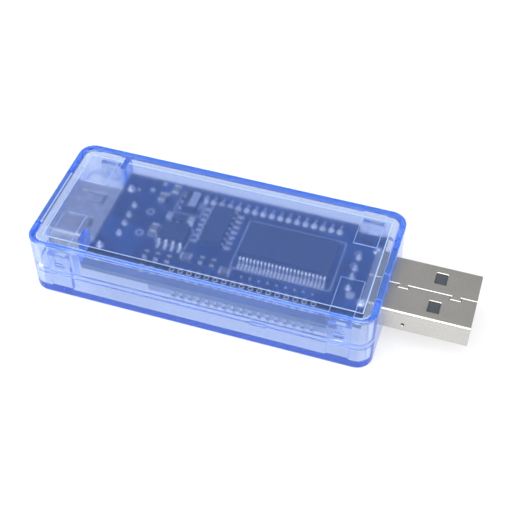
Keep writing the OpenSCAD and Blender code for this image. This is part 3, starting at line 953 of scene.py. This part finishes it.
# %% Socket shell
SOCKET_MIDDLE = 5.4
TUBE_LENGTH = 9.6
SPRING_Y = 3
SPRING_WIDTH = 1.6
SPRING_SHEET = 0.22
WINDOW_START = 2.8
WINDOW_SIZE = Vector((5, 2.4))
LEG_BOXES = (((-20.8, -18.4), (6.25, 6.55), (5.4, 6.8)), ((-19.35, -18.45), (6.3, 7.25), (6.25, 6.55)),
             ((-19.35, -18.45), (6.95, 7.25), (6.25, 8.55)))
socket_size = (2 * SOCKET_HALF, 2 * (SOCKET_TOP - SOCKET_MIDDLE))
front = socket_low.x
socket_tube = metal_tube(front, front + TUBE_LENGTH, socket_size, 0.6, SOCKET_MIDDLE)
socket_shell = make_piece("socket_shell", socket_tube, socket_steel)
spring_strips = []
for up in (-1, 1):
    face = SOCKET_MIDDLE + up * socket_size[1] / 2
    for side in (-1, 1):
        low = Vector((front + WINDOW_START, side * SPRING_Y - WINDOW_SIZE.y / 2))
        punch(socket_shell, low, low + WINDOW_SIZE, face, 0.08)
        sheet_z = face - up * 0.17
        points = [Vector(p) for p in ((front + 2.6, sheet_z), (front + 4.2, sheet_z - up * 0.05),
                                      (front + 6.2, sheet_z - up * 0.34), (front + 7.2, sheet_z))]
        middle, ahead, across = Vector((0, side * SPRING_Y)), Vector((1, 0)), Vector((0, 1))
        spring = strip(rounded_path(points, 0.6), middle, ahead, across, SPRING_WIDTH, SPRING_SHEET)
        spring_strips.append(spring)
legs = []
for side in (-1, 1):
    for xs, ys, zs in LEG_BOXES:
        near, far = sorted(side * y for y in ys)
        legs.append(block((xs[0], near, zs[0]), (xs[1], far, zs[1]), 0.1))
smooth(socket_shell)
socket_springs = smooth(make_piece("socket_springs", join(spring_strips + legs), socket_steel))
fit(socket_shell, BODY, "plug_steel", "usb_socket_shell")
fit(socket_springs, BODY, "plug_steel", "usb_socket_shell")

# %% [markdown]
# ## Chips
# A moulded chip body is widest at its middle, where the two halves of the mould met, and has a small
# round mark by its first lead. Its leads are strips of tinned copper bent into a gull's wing.

# %% Chip bodies
CHIP_PROFILE = ((0.16, 0), (0.02, 0.46), (0, 0.48), (0, 0.52), (0.02, 0.54), (0.12, 0.96), (0.17, 1))


def moulded(name, node, profile):
    """A block in a node's box, from (distance in, share of the height) pairs."""
    low, high = node_box(node)
    middle, size = (low + high) / 2, high - low
    rings = []
    for inset, share in profile:
        outline = rounded_rect(size.x - 2 * inset, size.y - 2 * inset, 0.15, 3)
        rings.append([(middle.x + x, middle.y + y, low.z + share * size.z) for x, y in outline])
    return make_piece(name, skin(rings), finishes["chip_epoxy"])


def chip_body(name, node):
    low, high = node_box(node)
    body = moulded(name, node, CHIP_PROFILE)
    mark = [(low.x + 1 + x, low.y + 1 + y) for x, y in rounded_rect(0.8, 0.8, 0.39, 5)]
    carve(body, prism(mark, "Z", high.z - 0.06, high.z + 1))
    smooth(body)
    return fit(body, BODY, "chip_epoxy", node)


for name in ("driver_chip", "controller_chip", "amplifier_chip"):
    chip_body(name, name + "_body")

# %% [markdown]
# A lead leaves the body level, bends down to the board and turns out again into a flat foot. The
# foot stands on a bare pad, which is a little wider and longer than the foot.

# %% Gull-wing leads
LEAD_SHEET = 0.16
LEVEL_LENGTH = 0.42
FOOT_LENGTH = 0.6
PAD_REACH = 0.55
PAD_SPREAD = 0.65
INK_BASE = BOARD_TOP + 0.004


def lead_rows(name, node, body_node, axis, count, pitch, width, shoulder):
    """Two rows of leads. axis is the way that they leave the chip, X or Y."""
    low, high = node_box(node)
    body_low, body_high = node_box(body_node)
    middle = Vector(((low.x + high.x) / 2, (low.y + high.y) / 2))
    out = Vector((1, 0)) if axis == "X" else Vector((0, 1))
    side = Vector((-out.y, out.x))
    reach = (high - low).xy.dot(out) / 2
    start = (body_high - body_low).xy.dot(out) / 2 - 0.05
    foot = BOARD_TOP + 0.09
    corners = [Vector(p) for p in ((start, foot + shoulder), (start + LEVEL_LENGTH, foot + shoulder),
                                   (reach - FOOT_LENGTH, foot), (reach, foot))]
    path = rounded_path(corners, LEAD_SHEET)
    shapes = []
    for i in range(count):
        place = middle + side * (i - (count - 1) / 2) * pitch
        shapes += [strip(path, place, way, side, width, LEAD_SHEET) for way in (out, -out)]
        for way in (-1, 1):
            heel = place + out * way * (reach - PAD_REACH) - side * width * PAD_SPREAD
            toe = place + out * way * (reach + PAD_REACH) + side * width * PAD_SPREAD
            low_x, high_x = sorted((heel.x, toe.x))
            low_y, high_y = sorted((heel.y, toe.y))
            shapes.append(block((low_x, low_y, INK_BASE), (high_x, high_y, BOARD_TOP + 0.06)))
    leads = smooth(make_piece(name, join(shapes), tin))
    return fit(leads, BODY, "tinned_metal", node)


lead_rows("driver_leads", "driver_chip_leads", "driver_chip_body", "Y", 24, 0.635, 0.3, 1.1)
lead_rows("controller_leads", "controller_chip_leads", "controller_chip_body", "X", 7, 1.27, 0.42, 0.7)
lead_rows("amplifier_leads", "amplifier_chip_leads", "amplifier_chip_body", "Y", 4, 1.27, 0.42, 0.7)

# %% [markdown]
# ## Chip resistors and capacitors
# Each is a ceramic brick with tinned ends, so the bricks and the ends are two pieces.

# %% Two-ended parts
END_SHARE = 0.22
BRICK_SHARE = 0.6


def solids_of(node):
    """The boxes of a node's separate solids, in millimetres."""
    mesh = bmesh.new()
    mesh.from_mesh(frame["nodes"][node].data)
    bmesh.ops.remove_doubles(mesh, verts=mesh.verts, dist=0.001 * MM)
    left = set(mesh.verts)
    boxes = []
    while left:
        island, front = set(), [left.pop()]
        while front:
            vert = front.pop()
            island.add(vert)
            for edge in vert.link_edges:
                other = edge.other_vert(vert)
                if other in left:
                    left.discard(other)
                    front.append(other)
        spots = [v.co / MM for v in island]
        low = Vector([min(p[i] for p in spots) for i in range(3)])
        high = Vector([max(p[i] for p in spots) for i in range(3)])
        boxes.append((low, high))
    mesh.free()
    return sorted(boxes, key=lambda box: tuple(round(v, 2) for v in box[0]))


def two_ended(node, name, slot):
    bricks, ends = [], []
    for low, high in solids_of(node):
        size = high - low
        way = 0 if size.x > size.y else 1
        cap = size[way] * END_SHARE
        inner_low, inner_high = low.copy(), high.copy()
        inner_low[way] += cap * BRICK_SHARE
        inner_high[way] -= cap * BRICK_SHARE
        inner_high.z -= 0.03
        bricks.append(block(inner_low, inner_high, 0.06))
        for start in (low[way], high[way] - cap):
            cap_low, cap_high = low.copy(), high.copy()
            cap_low[way], cap_high[way] = start, start + cap
            ends.append(block(cap_low, cap_high, 0.1, 3))
    brick = smooth(make_piece(name + "_bricks", join(bricks), finishes[slot]))
    fit(brick, BODY, slot, node)
    fit(smooth(make_piece(name + "_ends", join(ends), tin)), BODY, "tinned_metal")


two_ended("capacitors", "capacitor", "ceramic")
two_ended("resistors", "resistor", "chip_epoxy")
two_ended("shunt_resistor", "shunt", "chip_epoxy")

# %% [markdown]
# The regulator is a small block with a bright heat tab over half of its top. The real tab goes down to
# the board on one side and three short legs stand on the other; only the block and the tab's top are
# drawn.

# %% Voltage regulator
REGULATOR_PROFILE = ((0.1, 0), (0, 0.45), (0, 0.5), (0.1, 0.95), (0.16, 1))
low, high = node_box("voltage_regulator")
regulator = smooth(moulded("regulator_body", "voltage_regulator", REGULATOR_PROFILE))
tab_low = Vector((low.x + 1.1, low.y + 0.5, high.z - 0.2))
tab_high = high + Vector((-0.05, -0.5, 0.04))
regulator_tab = smooth(make_piece("regulator_tab", block(tab_low, tab_high, 0.1), tin))
fit(regulator, BODY, "chip_epoxy", "voltage_regulator")
fit(regulator_tab, BODY, "tinned_metal")

# %% [markdown]
# ## Solder
# Every leg that comes up through the board stands in a bright cone of solder on a round pad. The
# cone is a turned profile that sweeps in from the pad and rounds over the leg.

# %% Solder joints
ROUND_LIMIT = 60
PAD_BASE = BOARD_TOP + 0.005
CONE_SLOPE = ((1, 0), (0.98, 0.06), (0.78, 0.2), (0.6, 0.42), (0.5, 0.7), (0.42, 0.9), (0.25, 0.99),
              (0.05, 1))


def circle(x, y, radius, z, count):
    angles = [math.tau * i / count for i in range(count)]
    return [(x + radius * math.cos(a), y + radius * math.sin(a), z) for a in angles]


def turned(x, y, profile):
    """A round solid from (radius, height above the pad) pairs."""
    return skin([circle(x, y, radius, PAD_BASE + rise, 14) for radius, rise in profile])


def solder_cone(x, y, radius, height):
    return turned(x, y, [(radius * share, height * rise) for share, rise in CONE_SLOPE])


PIN_COUNT, PIN_PITCH = 17, 1.53
pin_middle = (node_box("lcd_pins_far")[0].x + node_box("lcd_pins_far")[1].x) / 2
pin_x = [pin_middle + (i - (PIN_COUNT - 1) / 2) * PIN_PITCH for i in range(PIN_COUNT)]
joints = [solder_cone(x, 8.2, 0.6, 0.62) for x in pin_x]
CONTACT_Y = (-3.5, -1, 1, 3.5)
SOCKET_ROW_X, PLUG_ROW_X = -16.85, 23.6
joints += [solder_cone(x, y, 0.62, 0.72) for x in (SOCKET_ROW_X, PLUG_ROW_X) for y in CONTACT_Y]
joints += [solder_cone(-18.9, side * 7.1, 0.75, 0.8) for side in (-1, 1)]
joints += [solder_cone(26.5, side * 5.85, 0.9, 0.7) for side in (-1, 1)]
solder = smooth(make_piece("solder_joints", join(joints), tin), ROUND_LIMIT)
fit(solder, BODY, "tinned_metal")

# %% [markdown]
# The bare pads and the plated holes are thin discs and rings on the mask.

# %% Pads and vias


def disc(x, y, radius):
    return turned(x, y, [(radius, 0), (radius, 0.018), (radius - 0.03, 0.03)])


def ring_pad(x, y, outer, inner):
    top = PAD_BASE + 0.04
    section = ((outer, PAD_BASE), (outer, top), (inner, top), (inner, PAD_BASE))
    return skin([circle(x, y, radius, z, 20) for radius, z in section], closed=True)


NEAR_ROW_Y, FAR_ROW_Y = -8.6, 9.45
pads = [disc(x, FAR_ROW_Y, 0.22) for x in pin_x] + [ring_pad(x, NEAR_ROW_Y, 0.5, 0.3) for x in pin_x]
pads += [disc(6.2 + i * PIN_PITCH, -6.65, 0.2) for i in range(9)]
pads += [ring_pad(-13.6, y, 0.75, 0.45) for y in (2.8, -2.4)]
pads += [ring_pad(23.3, y, 0.6, 0.4) for y in (4.25, 1.4)]
test_points = ((-15.2, 8.0, 0.45), (-13.6, 10.0, 0.4), (-12.1, 7.9, 0.35), (-17.6, 7.35, 0.35),
               (24.3, -4.9, 0.8), (26.8, -5.6, 0.6))
pads += [disc(*point) for point in test_points]
bare_pads = smooth(make_piece("bare_pads", join(pads), tin), ROUND_LIMIT)
fit(bare_pads, BODY, "tinned_metal")

# %% [markdown]
# Thin white outlines are printed on the mask round the larger parts. They carry no lettering.

# %% Printed outlines
INK_WIDTH = 0.12
INK_TOP = INK_BASE + 0.015


def printed_frame(low, high):
    """A thin printed rectangle on the board, from (x, y) to (x, y)."""
    low, high = Vector(low), Vector(high)
    middle, size = (low + high) / 2, high - low
    rings = []
    for inset, z in ((0, INK_BASE), (0, INK_TOP), (INK_WIDTH, INK_TOP), (INK_WIDTH, INK_BASE)):
        outline = rounded_rect(size.x - 2 * inset, size.y - 2 * inset, 0.3 - inset / 2, 3)
        rings.append([(middle.x + x, middle.y + y, z) for x, y in outline])
    return skin(rings, closed=True)


amplifier_frame = ((-10.4, -3.6), (-4.8, 1.0))
capacitor_frame = ((-12.2, -2.6), (-10.5, 0.2))
regulator_frame = ((-9.9, 4.1), (-4.9, 9.3))
driver_frame = ((3.6, -5.2), (21.0, 6.0))
frames = (amplifier_frame, capacitor_frame, regulator_frame, driver_frame)
outlines = [printed_frame(*corners) for corners in frames]
legend = make_piece("printed_outlines", join(outlines), finishes["white_film"])
fit(smooth(legend, ROUND_LIMIT), BODY, "white_film")
